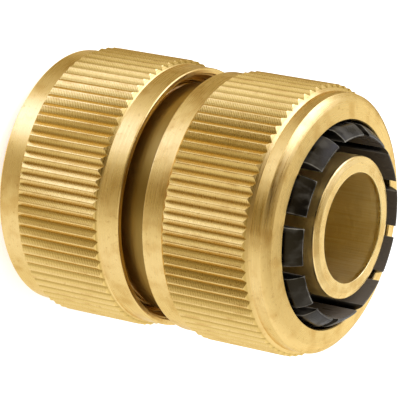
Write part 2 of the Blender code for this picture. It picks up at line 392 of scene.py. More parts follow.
def turned_space(tree):
    """The object's own space as the lathe sees it: nodes and outputs by name."""
    place = add_node(tree, "ShaderNodeTexCoord").outputs["Object"]
    flat = add_node(tree, "ShaderNodeVectorMath", [place, (1, 1, 0)], operation="MULTIPLY")
    height = add_node(tree, "ShaderNodeSeparateXYZ", [place]).outputs["Z"]
    above = add_node(tree, "ShaderNodeMath", [height, AXIS_MIDDLE.z], operation="SUBTRACT")
    return {
        "place": place,
        "radius": add_node(tree, "ShaderNodeVectorMath", [flat], operation="LENGTH"),
        "spoke": add_node(tree, "ShaderNodeVectorMath", [flat], operation="NORMALIZE"),
        "height": height,
        "from middle": add_node(tree, "ShaderNodeMath", [above], operation="ABSOLUTE"),
    }


def rings(tree, space, spacing, run, detail):
    """Tool marks a spacing apart, that change along a run of about so many turns."""
    feeds = [space["spoke"], (run, run, 0)]
    spoke = add_node(tree, "ShaderNodeVectorMath", feeds, operation="MULTIPLY")
    upward = add_node(tree, "ShaderNodeMath", [space["height"], spacing], operation="DIVIDE")
    upward = add_node(tree, "ShaderNodeCombineXYZ", {"Z": upward})
    vector = add_node(tree, "ShaderNodeVectorMath", [spoke, upward], operation="ADD")
    outward = add_node(tree, "ShaderNodeMath", [space["radius"], spacing], operation="DIVIDE")
    feeds = {"Vector": vector, "W": outward, "Scale": 1.0, "Detail": detail}
    return add_node(tree, "ShaderNodeTexNoise", feeds, noise_dimensions="4D")


# %% [markdown]
# Some places on the brass are drawn differently. The bore was drilled and reamed,
# and its reamer left fine chatter lines along the axis. The bore and the tail are
# drawn paler, as painted light where little light reaches them, and the collar
# between the nuts is drawn browner, as painted shade. The knurl's flanks are drawn
# darker and browner than its crests, and its valleys darker still. The knurling
# wheel left fine lines across the ridges, drawn here at twice their 0.13 mm.
# Handling and washing leave soft darker patches a few millimetres wide, and small
# freckles.

# %% Where brass looks different
# 1 up to the first number of millimetres, 0 past the second, soft between.
ZONE_LIMITS = {
    "drilled": ("radius", 7.38, 7.46),
    "tail": ("radius", 9.6, 10.5),
    "end": ("from middle", 22.7, 22.5),
    "near middle": ("from middle", 3.0, 3.4),
    "under the nuts": ("radius", 15.9, 16.3),
    "pocket length": ("from middle", 3.8, 4.0),
    "pocket walls": ("radius", 16.85, 16.95),
    "before the front band": ("from middle", 17.6, 17.9),
    "past the rear band": ("from middle", 5.3, 5.0),
    "outside": ("radius", 17.6, 17.5),
    "below the crest": ("radius", 17.95, 18.15),
    "deep": ("radius", 17.78, 17.95),
}
ZONE_PRODUCTS = (
    ("painted collar shade", "near middle", "under the nuts"),
    ("pocket", "pocket length", "pocket walls"),
    ("knurl length", "before the front band", "past the rear band"),
    ("knurl", "knurl length", "outside"),
    ("flank", "knurl", "below the crest"),
    ("valley", "knurl", "deep"),
)
print("zones of the brass:", len(ZONE_LIMITS) + len(ZONE_PRODUCTS))


def brass_zones(tree, space):
    """Masks from 0 to 1 for the places that look different."""
    zones = {}
    for name, (measure, start, end) in ZONE_LIMITS.items():
        feeds = [space[measure], start * MM, end * MM, 1.0, 0.0]
        zones[name] = add_node(tree, "ShaderNodeMapRange", feeds, interpolation_type="SMOOTHSTEP")
    for name, one, other in ZONE_PRODUCTS:
        feeds = [zones[one], zones[other]]
        zones[name] = add_node(tree, "ShaderNodeMath", feeds, operation="MULTIPLY")
    return zones


# %% The brass's colour
PATCH_SIZE, FRECKLE_SIZE = (3.0 * MM,) * 3, (0.67 * MM,) * 3
STREAK_SIZE = (0.29 * MM, 0.29 * MM, 6.2 * MM)


def brass_colour(tree, space, zones):
    """The metal's colour: patches and freckles, then the zones' shades, some of them painted light
    and shade.
    """
    near = add_node(tree, "ShaderNodeVectorMath", [space["place"], PATCH_SIZE], operation="DIVIDE")
    patches = add_node(tree, "ShaderNodeTexNoise", {"Vector": near, "Scale": 1.0, "Detail": 5.0})
    small = add_node(tree, "ShaderNodeVectorMath", [space["place"], FRECKLE_SIZE], operation="DIVIDE")
    feeds = {"Vector": small, "Scale": 1.0, "Detail": 5.0, "Roughness": 0.7}
    specks = add_node(tree, "ShaderNodeTexNoise", feeds)
    feeds = [patches, 0.47, 0.72, 0.0, 0.55]
    stained = add_node(tree, "ShaderNodeMapRange", feeds, interpolation_type="SMOOTHSTEP")
    feeds = [specks, 0.56, 0.72, 0.0, 0.45]
    freckled = add_node(tree, "ShaderNodeMapRange", feeds, interpolation_type="SMOOTHSTEP")
    along = add_node(tree, "ShaderNodeVectorMath", [space["place"], STREAK_SIZE], operation="DIVIDE")
    streaks = add_node(tree, "ShaderNodeTexNoise", {"Vector": along, "Scale": 1.0, "Detail": 2.0})
    streaked = add_node(tree, "ShaderNodeMath", [streaks, zones["drilled"]], operation="MULTIPLY")
    metal = linear("EAC87E")
    for mask, blend, shade in (
        # Painted light: the tail, deep in the gripper, is drawn paler, and its end faces a little
        # less so.
        (zones["tail"], "MIX", "F8D684"),
        (zones["end"], "MIX", "F2D38E"),
        (stained, "MULTIPLY", "D9C5A0"),
        (freckled, "MULTIPLY", "B8A07A"),
        # Painted light: the bore is drawn pale, where little light reaches it.
        (zones["drilled"], "MIX", "FFEFB0"),
        # Painted shade: the collar between the nuts is drawn browner.
        (zones["painted collar shade"], "MIX", "96783A"),
        # The knurl's flanks are drawn darker and browner, and its valleys darker still.
        (zones["flank"], "MIX", "E2C070"),
        (zones["valley"], "MIX", "BF9E54"),
        (streaked, "MULTIPLY", "E8D8B4"),
    ):
        feeds = [mask, metal, linear(shade)]
        metal = add_node(tree, "ShaderNodeMix", feeds, data_type="RGBA", blend_type=blend)
    return metal


# %% The marks that tools left
RING_SPACING, COARSE_RING_SPACING, KNURL_LINES = 0.13 * MM, 0.26 * MM, 0.26 * MM
GRAIN_SIZE, CHATTER_SIZE = (0.22 * MM,) * 3, (0.22 * MM, 0.22 * MM, 4.0 * MM)
# How deep these marks are beside the rings.
GRAIN_DEPTH, CHATTER_DEPTH, KNURL_LINE_DEPTH = 0.5, 2.0, 0.85


def brass_height(tree, space, zones, marks):
    """The surface's height: rings everywhere, chatter in the bore, lines on the knurl."""
    tiny = add_node(tree, "ShaderNodeVectorMath", [space["place"], GRAIN_SIZE], operation="DIVIDE")
    grain = add_node(tree, "ShaderNodeTexNoise", {"Vector": tiny, "Scale": 1.0})
    height = add_node(tree, "ShaderNodeMath", [grain, GRAIN_DEPTH, marks], operation="MULTIPLY_ADD")
    drawn = add_node(tree, "ShaderNodeVectorMath", [space["place"], CHATTER_SIZE], operation="DIVIDE")
    chatter = add_node(tree, "ShaderNodeTexNoise", {"Vector": drawn, "Scale": 1.0, "Detail": 1.0})
    chatter = add_node(tree, "ShaderNodeMath", [chatter, zones["drilled"]], operation="MULTIPLY")
    feeds = [chatter, CHATTER_DEPTH, height]
    height = add_node(tree, "ShaderNodeMath", feeds, operation="MULTIPLY_ADD")
    feeds = [space["height"], math.tau / KNURL_LINES]
    turns = add_node(tree, "ShaderNodeMath", feeds, operation="MULTIPLY")
    lines = add_node(tree, "ShaderNodeMath", [turns], operation="SINE")
    lines = add_node(tree, "ShaderNodeMath", [lines, zones["knurl"]], operation="MULTIPLY")
    feeds = [lines, KNURL_LINE_DEPTH, height]
    return add_node(tree, "ShaderNodeMath", feeds, operation="MULTIPLY_ADD")


# %% Turned brass
BODY_RING_DEPTH, NUT_RING_DEPTH = 0.010 * MM, 0.008 * MM


def turned_brass(name, ring_depth):
    """Bare brass with tool rings of that depth, rougher where the rings stand high."""
    material = new_material(name)
    tree = material.node_tree
    space = turned_space(tree)
    zones = brass_zones(tree, space)
    fine = rings(tree, space, RING_SPACING, 5.0, 1.0)
    coarse = rings(tree, space, COARSE_RING_SPACING, 2.5, 2.0)
    marks = add_node(tree, "ShaderNodeMath", [fine, coarse], operation="ADD")
    height = brass_height(tree, space, zones, marks)
    feeds = [marks, 0.7, 1.3, 0.25, 0.36]
    roughness = add_node(tree, "ShaderNodeMapRange", feeds, interpolation_type="SMOOTHSTEP")
    for place, more in (("tail", 0.15), ("end", -0.15), ("pocket", 0.12), ("painted collar shade", -0.04)):
        feeds = [zones[place], more, roughness]
        roughness = add_node(tree, "ShaderNodeMath", feeds, operation="MULTIPLY_ADD")
    feeds = {"Height": height, "Strength": 1.0, "Distance": ring_depth}
    bump = add_node(tree, "ShaderNodeBump", feeds)
    feeds = {
        "Base Color": brass_colour(tree, space, zones),
        "Metallic": 1.0,
        "Roughness": roughness,
        "Specular Tint": linear("F9EDCB"),
        "Normal": bump,
    }
    add_node(tree, "ShaderNodeOutputMaterial", [add_node(tree, "ShaderNodeBsdfPrincipled", feeds)])
    return material


body_brass = turned_brass("free cutting brass, turned", BODY_RING_DEPTH)
nut_brass = turned_brass("free cutting brass, knurled", NUT_RING_DEPTH)
print("brass:", body_brass.name, "|", nut_brass.name)

# %% [markdown]
# ## Nylon
#
# The grippers are black nylon, injection moulded. The mould gives it a satin
# skin with a very fine grain, so it is near black, with a soft warm-grey sheen
# only where a softbox stands behind it. Dull grey patches, a millimetre or two
# wide and longer along the fingers, are painted sheen. The sharp edges of the
# fingers are painted pale as a painted highlight, and their inner sides are drawn
# paler as painted light in the shade inside the gripper. The piece's own mesh says
# where those places are, in marks that its points carry, because no pattern in
# space follows them.

# %% Moulded nylon
NYLON_GRAIN, NYLON_GRAIN_DEPTH = (0.16 * MM,) * 3, 0.006 * MM
CLOUD_SIZE = (1.4 * MM, 1.4 * MM, 4.0 * MM)


def moulded_nylon(name):
    """Near-black nylon with painted sheen patches, painted highlights on its edges and painted light
    on its inner side.
    """
    material = new_material(name)
    tree = material.node_tree
    place = add_node(tree, "ShaderNodeTexCoord").outputs["Object"]
    fine_place = add_node(tree, "ShaderNodeVectorMath", [place, NYLON_GRAIN], operation="DIVIDE")
    grain = add_node(tree, "ShaderNodeTexNoise", {"Vector": fine_place, "Scale": 1.0})
    cloud_place = add_node(tree, "ShaderNodeVectorMath", [place, CLOUD_SIZE], operation="DIVIDE")
    feeds = {"Vector": cloud_place, "Scale": 1.0, "Detail": 3.0}
    clouds = add_node(tree, "ShaderNodeTexNoise", feeds)
    inside = add_node(tree, "ShaderNodeAttribute", attribute_name="inside").outputs["Fac"]
    edge = add_node(tree, "ShaderNodeAttribute", attribute_name="edge").outputs["Fac"]
    edge_highlight = add_node(tree, "ShaderNodeMath", [edge, clouds], operation="MULTIPLY")

    # Each range: what it reads, from and to, and what it gives there.
    ranges = {
        "roughness": (clouds, 0.38, 0.62, 0.22, 0.5),
        "cloudy": (clouds, 0.35, 0.7, 0.0, 1.0),
        # Painted sheen: pale grey patches from the clouds.
        "painted sheen": (clouds, 0.45, 0.7, 0.0, 0.16),
        # Painted highlight: the fingers' edges are drawn pale.
        "painted edge highlight": (edge_highlight, 0.24, 0.55, 0.0, 0.75),
    }
    amount = {"inside": inside}
    for what, feeds in ranges.items():
        amount[what] = add_node(tree, "ShaderNodeMapRange", feeds, interpolation_type="SMOOTHSTEP")
    colour = linear("0A0908")
    for what, shade in (
        ("cloudy", "1D1A16"),
        # Painted sheen.
        ("painted sheen", "77746C"),
        # Painted light: the inner sides are drawn paler, in the shade inside the gripper.
        ("inside", "5E574F"),
        # Painted highlight on the edges.
        ("painted edge highlight", "8A867C"),
    ):
        feeds = [amount[what], colour, linear(shade)]
        colour = add_node(tree, "ShaderNodeMix", feeds, data_type="RGBA")
    feeds = {"Height": grain, "Strength": 1.0, "Distance": NYLON_GRAIN_DEPTH}
    bump = add_node(tree, "ShaderNodeBump", feeds)
    feeds = {
        "Base Color": colour,
        "Roughness": amount["roughness"],
        "Specular IOR Level": 0.3,
        "Specular Tint": linear("E2C890"),
        "Normal": bump,
    }
    add_node(tree, "ShaderNodeOutputMaterial", [add_node(tree, "ShaderNodeBsdfPrincipled", feeds)])
    return material


black_nylon = moulded_nylon("black nylon, moulded")
print("nylon:", black_nylon.name)

# %% [markdown]
# ## The turned body
#
# One bar of brass, drilled through and turned: a tail at each end, three shallow
# barbs on it, a threaded hub, a relief groove and the plain collar between the
# two nuts. Heights are measured from the middle of the body, so one half is
# written and the other is the same list turned over.

# %% Body outline
SHARP = math.radians(25)
BORE_R, TAIL_R, BARB_DEPTH = 7.35 * MM, 9.5 * MM, 0.4 * MM
HUB_ROOT_R, RELIEF_R, COLLAR_R = 15.25 * MM, 15.0 * MM, 15.6 * MM
COLLAR_END, THREAD_START, HUB_FACE, TAIL_END = 2.85 * MM, 3.95 * MM, 10.6 * MM, 23.31 * MM
BARB_COUNT, BARB_PITCH, BARB_UNDERCUT, END_LAND = 3, 2.5 * MM, 0.12 * MM, 3.6 * MM

# Each corner is its radius, its height above the middle, and its edge's radius.
half = [
    (BORE_R, TAIL_END, 0.1 * MM),
    (TAIL_R - 0.85 * MM, TAIL_END, 0.5 * MM),
    (TAIL_R - 0.1 * MM, TAIL_END - 0.32 * MM, 0.1 * MM),
    (TAIL_R, TAIL_END - 0.46 * MM, 0.1 * MM),
]
for i in range(BARB_COUNT):
    height = TAIL_END - END_LAND - i * BARB_PITCH
    half.append((TAIL_R, height, 0.07 * MM))
    half.append((TAIL_R - BARB_DEPTH, height - BARB_UNDERCUT, 0.07 * MM))
half += [
    (TAIL_R - BARB_DEPTH, HUB_FACE, 0.3 * MM),
    (HUB_ROOT_R, HUB_FACE, 0.35 * MM),
    (HUB_ROOT_R, THREAD_START, 0.3 * MM),
    (RELIEF_R, THREAD_START - 0.2 * MM, 0.12 * MM),
    (RELIEF_R, COLLAR_END, 0.15 * MM),
    (COLLAR_R, COLLAR_END, 0.22 * MM),
]
corners = half + [(r, -s, edge) for r, s, edge in reversed(half)]
body_outline = [(r, AXIS_MIDDLE.z + s) for r, s in rounded(corners)]
print("body outline:", len(body_outline), "points")

# %% [markdown]
# The body has no knurl, so its ridge is one plain column, and no row is marked.

# %% Turn the body
BODY_COLUMNS = 224

no_marks = {"knurled": [0.0] * len(body_outline), "slide": [0.0] * len(body_outline)}
outline = profile_object("body outline", body_outline, no_marks)
plain_column = profile_object("plain column", [(0.0, 1.0)])
sizes = {
    "Ridge": plain_column,
    "Ridge count": BODY_COLUMNS,
    "Sharp angle": SHARP,
    "Material": body_brass,
}
turned = checked(baked(outline, lathe, sizes, "turned bar"))

# %% [markdown]
# ## The knurled nuts
#
# Each nut is a ring with straight knurling between two plain bands, a rounded rim
# and a slightly crowned front face. Inside are the thread, the chamber for the
# gripper's ring, and the cone that closes its fingers. The photograph shows the
# far nut's front band a little longer than the near one's. The longer band starts
# where the knurl ends, so the cone that the knurl runs out on keeps its place.

# %% Nut outline
KNURL_R, KNURL_DEPTH, KNURL_CREST, RIDGES = 18.2 * MM, 0.52 * MM, 0.12 * MM, 76
REAR_BAND_R, FRONT_BAND_R, MOUTH_R, CHAMBER_R = 17.58 * MM, 17.35 * MM, 13.9 * MM, 15.4 * MM
NUT_THREAD_R, COUNTERBORE_R = 16.15 * MM, 16.75 * MM
NUT_REAR, NUT_FRONT, FACE_CROWN = 1.85 * MM, 21.05 * MM, 0.38 * MM
RIM_DEPTH, RIM_LENGTH, RIM_FULLNESS, RIM_STEPS = 1.25 * MM, 0.87 * MM, 0.3, 6
KNURL_REAR, KNURL_FRONT, RUNOUT = 5.6 * MM, 17.45 * MM, 0.65 * MM
STEP_REAR, STEP_FRONT, STEP_DEPTH = 2.5 * MM, 3.2 * MM, 0.25 * MM
NUT_THREAD_START, NUT_THREAD_END, CHAMBER_START = 3.6 * MM, 11.6 * MM, 12.0 * MM
CONE_START, CONE_END = 15.6 * MM, 20.4 * MM


def bulged(start, end, steps, fullness):
    """Points between two corners of the rim, on a gently bulging quarter curve."""
    points = []
    for i in range(1, steps):
        share, quarter = i / steps, i / steps * math.pi / 2
        along = share + (math.sin(quarter) - share) * fullness
        across = share + (1 - math.cos(quarter) - share) * fullness
        radius = start[0] + (end[0] - start[0]) * across
        points.append((radius, start[1] + (end[1] - start[1]) * along, 0.0))
    return points


def nut_corners(band_extra):
    """The nut's outline as corners, from its rear edge through the bore and round."""
    face_front = NUT_FRONT + band_extra
    band_edge = (FRONT_BAND_R, face_front - FACE_CROWN - RIM_LENGTH)
    face_edge = (FRONT_BAND_R - RIM_DEPTH, face_front - FACE_CROWN)
    return [
        (COUNTERBORE_R, NUT_REAR, 0.12 * MM),
        (COUNTERBORE_R, STEP_REAR, 0.05 * MM),
        (COUNTERBORE_R - STEP_DEPTH, STEP_REAR + 0.05 * MM, 0.07 * MM),
        (COUNTERBORE_R - STEP_DEPTH, STEP_FRONT, 0.05 * MM),
        (NUT_THREAD_R, NUT_THREAD_START, 0.1 * MM),
        (NUT_THREAD_R, NUT_THREAD_END, 0.1 * MM),
        (CHAMBER_R, CHAMBER_START, 0.1 * MM),
        (CHAMBER_R, CONE_START, 0.6 * MM),
        (MOUTH_R, CONE_END, 0.4 * MM),
        (MOUTH_R, face_front - 0.2 * MM, 0.06 * MM),
        (MOUTH_R + 0.16 * MM, face_front - 0.03 * MM, 0.06 * MM),
        (*face_edge, 0.22 * MM),
        *reversed(bulged(band_edge, face_edge, RIM_STEPS, RIM_FULLNESS)),
        (*band_edge, 0.05 * MM),
        (FRONT_BAND_R, KNURL_FRONT + RUNOUT, 0.05 * MM),
        (KNURL_R, KNURL_FRONT, 0.0),
        (KNURL_R, KNURL_REAR, 0.0),
        (REAR_BAND_R, KNURL_REAR - RUNOUT, 0.05 * MM),
        (REAR_BAND_R, NUT_REAR, 0.24 * MM),
    ]


print("nut outline:", len(nut_corners(0.0)), "corners")

# %% [markdown]
# The knurl's ridges are pressed into the nut by a wheel, so they are sharp, with
# only a thin flat along each crest. The nut's rows on the knurl are marked as
# knurled, and each also says how far it slides along the cone for what is cut off.

# %% The knurl's marks on the outline
SAME_RADIUS = 1e-7


def nut_profile(band_extra, side):
    """The nut's points at their real heights, marked for the knurl. side is 1 or -1."""
    front_slide = RUNOUT / (KNURL_R - FRONT_BAND_R)
    rear_slide = -RUNOUT / (KNURL_R - REAR_BAND_R)
    points = rounded(nut_corners(band_extra))
    knurled = [float(abs(r - KNURL_R) < SAME_RADIUS) for r, s in points]
    slide = [
        side * on_ridge * (front_slide if s > KNURL_REAR + RUNOUT else rear_slide)
        for on_ridge, (r, s) in zip(knurled, points)
    ]
    placed = [(r, AXIS_MIDDLE.z + side * s) for r, s in points]
    return placed, {"knurled": knurled, "slide": slide}


print("knurled rows:", int(sum(nut_profile(0.0, 1)[1]["knurled"])))

# %% The ridge's outline
GUARD_SHARE, ROUND_SHARE = 0.07, 0.03

ridge_width = math.tau * KNURL_R / RIDGES
flank_share = 0.5 - KNURL_CREST / 2 / ridge_width
ridge_shares = [0.0, flank_share - GUARD_SHARE]
ridge_shares += [flank_share - ROUND_SHARE, flank_share + ROUND_SHARE]
ridge_shares += [1 - share for share in reversed(ridge_shares[1:])]
ridge_points = []
for share in ridge_shares:
    rise = min(1.0, min(share, 1 - share) / flank_share)
    ridge_points.append((share, KNURL_R - KNURL_DEPTH * (1 - rise)))
knurl_ridge = profile_object("knurl ridge", ridge_points)
print("knurl:", RIDGES, "ridges,", round(ridge_width / MM, 2), "mm apart")

# %% Turn and knurl both nuts
FAR_BAND_EXTRA = 1.2 * MM
VALLEY_ANGLE = FRONT_ANGLE + math.radians(3.7)

knurled_rings = {}
for nut_name, band_extra, side in (("upper_nut", 0.0, 1), ("lower_nut", FAR_BAND_EXTRA, -1)):
    points, marks = nut_profile(band_extra, side)
    outline = profile_object(nut_name + " outline", points, marks)
    sizes = {
        "Ridge": knurl_ridge,
        "Ridge count": RIDGES,
        "First angle": VALLEY_ANGLE,
        "Sharp angle": SHARP,
        "Material": nut_brass,
    }
    knurled_rings[nut_name] = checked(baked(outline, lathe, sizes, nut_name + " ring"))

# %% Take away the lathe's small helper lines
for helper in (plain_column, knurl_ridge):
    bpy.data.objects.remove(helper, do_unlink=True)

# %% [markdown]
# ## Threads
#
# The nuts run on screw threads, which show as soon as a nut is turned out. They
# could be cut out of the metal, but a cut mesh is hard to keep clean. A thread is
# one ridge that follows a path, so its tree bends a line into a helix and sweeps a
# small ridge outline along it. The same tree makes the outer ridges on the body
# and the inner ones in the nuts, from other sizes. Each ridge fades out at both
# ends, and its foot is sunk a little into the metal that carries it. The inner
# ridge lies half a turn from the outer one, so it runs in its groove.

# %% The thread's tree
THREAD_PITCH = 1.5 * MM
FADE_TURNS, FADED = 0.2, 0.08


def thread_tree():
    """A ridge on a helix. Foot and Crest are how far out they lie from the radius."""
    lengths = ["Radius", "Start height", "Foot", "Crest", "Foot width", "Crest width"]
    inputs = {
        "Float": [*lengths, "First angle", "Turns"],
        "Int": ["Steps"],
        "Material": ["Material"],
    }
    tree, given = new_tree("thread", inputs, "Thread")

    # A line of points is bent into a helix.
    line = add_node(tree, "GeometryNodeCurvePrimitiveLine")
    path = add_node(tree, "GeometryNodeResampleCurve", {"Curve": line, "Count": given["Steps"]})
    share = add_node(tree, "GeometryNodeSplineParameter").outputs["Factor"]
    turned = add_node(tree, "ShaderNodeMath", [share, given["Turns"]], operation="MULTIPLY")
    feeds = [turned, math.tau, given["First angle"]]
    angle = add_node(tree, "ShaderNodeMath", feeds, operation="MULTIPLY_ADD")
    feeds = [turned, THREAD_PITCH, given["Start height"]]
    height = add_node(tree, "ShaderNodeMath", feeds, operation="MULTIPLY_ADD")
    flat = add_node(tree, "ShaderNodeCombineXYZ", {"X": given["Radius"], "Z": height})
    feeds = {"Vector": flat, "Angle": angle}
    around = add_node(tree, "ShaderNodeVectorRotate", feeds, rotation_type="Z_AXIS")

    # It fades out towards its two ends.
    left = add_node(tree, "ShaderNodeMath", [given["Turns"], turned], operation="SUBTRACT")
    near_end = add_node(tree, "ShaderNodeMath", [left, turned], operation="MINIMUM")
    fade = add_node(tree, "ShaderNodeMapRange", [near_end, 0.0, FADE_TURNS, FADED, 1.0])
    helix = add_node(tree, "GeometryNodeSetPosition", {"Geometry": path, "Position": around})
    helix = add_node(tree, "GeometryNodeSetCurveNormal", {"Curve": helix}, mode="Z_UP")

    # The ridge's outline is swept along it.
    corners = []
    for reach, side in (("Foot", -0.5), ("Crest", -0.5), ("Crest", 0.5), ("Foot", 0.5)):
        feeds = [given[reach + " width"], side]
        half_width = add_node(tree, "ShaderNodeMath", feeds, operation="MULTIPLY")
        corners.append(add_node(tree, "ShaderNodeCombineXYZ", [given[reach], half_width]))
    feeds = {f"Point {i + 1}": corner for i, corner in enumerate(corners)}
    ridge = add_node(tree, "GeometryNodeCurvePrimitiveQuadrilateral", feeds, mode="POINTS")
    feeds = {"Curve": helix, "Profile Curve": ridge, "Scale": fade, "Fill Caps": True}
    swept = add_node(tree, "GeometryNodeCurveToMesh", feeds)
    add_node(tree, "NodeGroupOutput", [finished(tree, swept, SHARP, given["Material"])])
    return tree


thread = thread_tree()
print("thread tree:", len(thread.nodes), "nodes")

# %% Cut a thread, and join pieces into one mesh
SUNK, OUTER_CREST, INNER_CREST = 0.15 * MM, 0.65 * MM, 0.55 * MM
FOOT_WIDTH, CREST_WIDTH, STEPS_A_TURN = 1.1 * MM, 0.25 * MM, 72


def cut_thread(name, outer, start, turns, material):
    """A ridge that starts at a height above the middle. outer is True on the body."""
    sizes = {
        "Radius": HUB_ROOT_R if outer else NUT_THREAD_R,
        "Start height": AXIS_MIDDLE.z + start,
        "First angle": 0.0,
        "Turns": turns,
        "Foot": -SUNK if outer else SUNK,
        "Crest": OUTER_CREST if outer else -INNER_CREST,
        "Foot width": FOOT_WIDTH,
        "Crest width": CREST_WIDTH,
        "Steps": turns * STEPS_A_TURN + 1,
        "Material": material,
    }
    return checked(baked(profile_object(name, [(0.0, 0.0)]), thread, sizes, name))


def joined(pieces, name):
    """The first piece with the meshes of the others added to its own, renamed."""
    bm = bmesh.new()
    for piece in pieces:
        bm.from_mesh(piece.data)
    whole = pieces[0]
    bm.to_mesh(whole.data)
    bm.free()
    for piece in pieces[1:]:
        bpy.data.objects.remove(piece, do_unlink=True)
    whole.name = whole.data.name = name
    return whole


# %% Cut the threads
OUTER_TURNS, INNER_TURNS = 4, 5

outer_threads, nuts = [], {}
for nut_name, start in (("upper_nut", 4.35 * MM), ("lower_nut", -10.35 * MM)):
    name = nut_name + " outer thread"
    outer_threads.append(cut_thread(name, True, start, OUTER_TURNS, body_brass))
    name, start = nut_name + " inner thread", start - THREAD_PITCH / 2
    inner_thread = cut_thread(name, False, start, INNER_TURNS, nut_brass)
    nuts[nut_name] = joined([knurled_rings[nut_name], inner_thread], nut_name + "_knurled")
centre_body = joined([turned, *outer_threads], "turned_body")
print("joined:", [piece.name for piece in (centre_body, *nuts.values())])

# %% [markdown]
# ## The slotted grippers
#
# The gripper is a nylon ring with twelve fingers, moulded in one piece, so every
# corner is soft. One twelfth of it is built as a cage of box cells, a few cells
# wide, deep and high, with cells left out where the slot is. Only the outer faces
# of the cells are kept. Geometry Nodes set twelve of them round the axis and join
# them, and a subdivision surface rounds the cage into the moulded shape. The thin
# cells next to each corner hold its roundness to about a quarter of a millimetre.

# %% A finger's side
FINGERS, FINGER_IN_R, FINGER_OUT_R, RING_R = 12, 12.1 * MM, 13.55 * MM, 15.05 * MM
RING_BOTTOM, RING_TOP, FINGER_TIP = 10.95 * MM, 13.55 * MM, 23.0 * MM
TIP_START, TIP_R, TIP_ROUNDNESS = 21.25 * MM, 12.22 * MM, 0.35


def outer_radius(s):
    """The finger's outer side at a height above the middle."""
    if s < CONE_START:
        return RING_R
    if s < CONE_END:
        return RING_R + (FINGER_OUT_R - RING_R) * (s - CONE_START) / (CONE_END - CONE_START)
    if s < TIP_START:
        return FINGER_OUT_R
    share = min(1.0, (s - TIP_START) / (FINGER_TIP - TIP_START))
    quarter_circle = 1 - math.sqrt(1 - share * share)
    drawn_in = share + (quarter_circle - share) * TIP_ROUNDNESS
    return FINGER_OUT_R - (FINGER_OUT_R - TIP_R) * drawn_in


print("finger, thick at its root, mm:", round((outer_radius(CONE_START) - FINGER_IN_R) / MM, 2))

# %% Points of the cage
SLOT_WIDTH, SLOT_FLARE, EDGE = 1.45 * MM, 0.3, 0.24 * MM
CAGE_COLUMNS, CAGE_LAYERS, SLOT_CELLS = 9, 3, 2
MOST_EDGE, INNER_COLUMN = 0.28, 0.3

# The cage's heights above the middle. They crowd where the finger turns a corner.
finger_rows = [RING_BOTTOM, RING_BOTTOM + EDGE, 12.2 * MM]
finger_rows += [RING_TOP - EDGE, RING_TOP, RING_TOP + EDGE]
finger_rows += [s * MM for s in (15.4, 15.8, 18.0, 20.2, 20.6)]
finger_rows += [s * MM for s in (21.05, 21.4, 21.8, 22.3, 22.75, 22.93)]
finger_rows.append(FINGER_TIP)
print("cage:", len(finger_rows), "points high")


def finger_point(row, column, layer, side):
    """A cage point. The outer columns lie in the middle of the slots beside the finger."""
    s = finger_rows[row]
    outer = outer_radius(s)
    depth = outer - FINGER_IN_R
    edge = min(EDGE, depth * MOST_EDGE)
    radius = FINGER_IN_R + (0.0, edge, depth - edge, depth)[layer]
    half_slot = (SLOT_WIDTH + SLOT_FLARE * (radius - FINGER_IN_R)) / 2
    from_slot = (0.0, half_slot - EDGE, half_slot, half_slot + EDGE)
    half_sector = math.pi / FINGERS
    mirrored = min(column, CAGE_COLUMNS - column)
    angle = half_sector * INNER_COLUMN
    if mirrored < len(from_slot):
        angle = half_sector - math.asin(from_slot[mirrored] / radius)
    if column == mirrored:
        angle = -angle
    return Vector((radius * math.cos(angle), radius * math.sin(angle), AXIS_MIDDLE.z + side * s))


# %% The faces of the cage
def open_faces(filled, side):
    """The corners of every cell face that no other cell covers, counted in cells."""
    faces = []
    for cell in sorted(filled):
        for axis in range(3):
            for step in (-1, 1):
                beyond = list(cell)
                beyond[axis] += step
                if tuple(beyond) in filled or (axis == 1 and beyond[1] in (-1, CAGE_COLUMNS)):
                    continue
                face = []
                square = [(0, 0), (1, 0), (1, 1), (0, 1)]
                for a, b in square if step * side > 0 else reversed(square):
                    corner = list(cell)
                    corner[axis] += step > 0
                    corner[(axis + 1) % 3] += a
                    corner[(axis + 2) % 3] += b
                    face.append(tuple(corner))
                faces.append(face)
    return faces


# %% One finger's cage
def finger_cage(side):
    """One twelfth of the gripper, open where the next one joins. Its points are
    marked on the finger's edges, where a highlight is painted, and on its inner side,
    where light is painted."""
    ring_rows, rows = finger_rows.index(RING_TOP), len(finger_rows) - 1
    finger_sides = (SLOT_CELLS, CAGE_COLUMNS - SLOT_CELLS)
    filled = {
        (i, j, k)
        for i in range(rows)
        for j in range(CAGE_COLUMNS)
        for k in range(CAGE_LAYERS)
        if i < ring_rows or finger_sides[0] <= j < finger_sides[1]
    }
    faces = open_faces(filled, side)
    corners = list(dict.fromkeys(corner for face in faces for corner in face))
    bm = bmesh.new()
    verts = {corner: bm.verts.new(finger_point(*corner, side)) for corner in corners}
    for face in faces:
        bm.faces.new([verts[corner] for corner in face])
    mesh = bpy.data.meshes.new("finger cage")
    bm.to_mesh(mesh)
    bm.free()

    marks = {"edge": [], "inside": []}
    for row, column, layer in corners:
        sides_met = (row == rows) + (column in finger_sides) + (layer in (0, CAGE_LAYERS))
        marks["edge"].append(float(sides_met > 1 and row > ring_rows))
        marks["inside"].append(float(layer == 0))
    for mark, values in marks.items():
        mesh.attributes.new(mark, "FLOAT", "POINT").data.foreach_set("value", values)
    obj = bpy.data.objects.new("finger cage", mesh)
    bpy.context.scene.collection.objects.link(obj)
    print("finger cage:", len(faces), "faces")
    return obj


# %% The gripper's tree
CAGE_MERGE, CAGE_SHARP = 0.01 * MM, math.radians(60)


